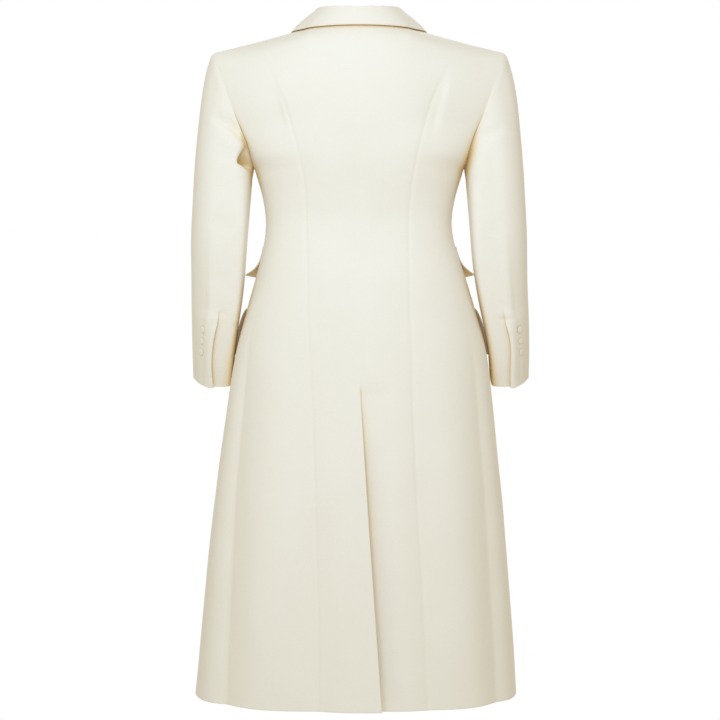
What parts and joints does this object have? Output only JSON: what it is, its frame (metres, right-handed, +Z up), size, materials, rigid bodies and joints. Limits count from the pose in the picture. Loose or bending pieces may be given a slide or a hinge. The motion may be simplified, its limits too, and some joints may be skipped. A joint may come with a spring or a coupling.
{
  "type": "long coat",
  "caption": "Long tailored coat in its worn hollow form, with princess seams, notched lapels, flared pocket flaps, cuff vents and a lapped back vent.",
  "frame": {"origin": "midway between the neck points of the two shoulder seams, where the wearer's shoulders carry the coat", "axes": "+Z up, -Y the way the wearer faces, +X the wearer's left"},
  "size_m": [0.5423, 0.3786, 1.0889],
  "materials": {
    "coating": "matt ivory wool crepe coating",
    "covered_button": "buttons covered in the coat's cloth"
  },
  "bodies": {
    "root": {"back_centre_L": "coating", "back_side_L": "coating", "front_side_L": "coating", "front_L": "coating", "lapel_L": "coating", "sleeve_upper_L": "coating", "sleeve_under_L": "coating", "flap_upper_L": "coating", "flap_lower_L": "coating", "back_centre_R": "coating", "back_side_R": "coating", "front_side_R": "coating", "front_R": "coating", "lapel_R": "coating", "sleeve_upper_R": "coating", "sleeve_under_R": "coating", "flap_upper_R": "coating", "flap_lower_R": "coating", "collar": "coating", "button_front_1": "covered_button", "button_front_2": "covered_button", "button_front_3": "covered_button", "button_cuff_L1": "covered_button", "button_cuff_L2": "covered_button", "button_cuff_L3": "covered_button", "button_cuff_R1": "covered_button", "button_cuff_R2": "covered_button", "button_cuff_R3": "covered_button"}
  },
  "joints": []
}
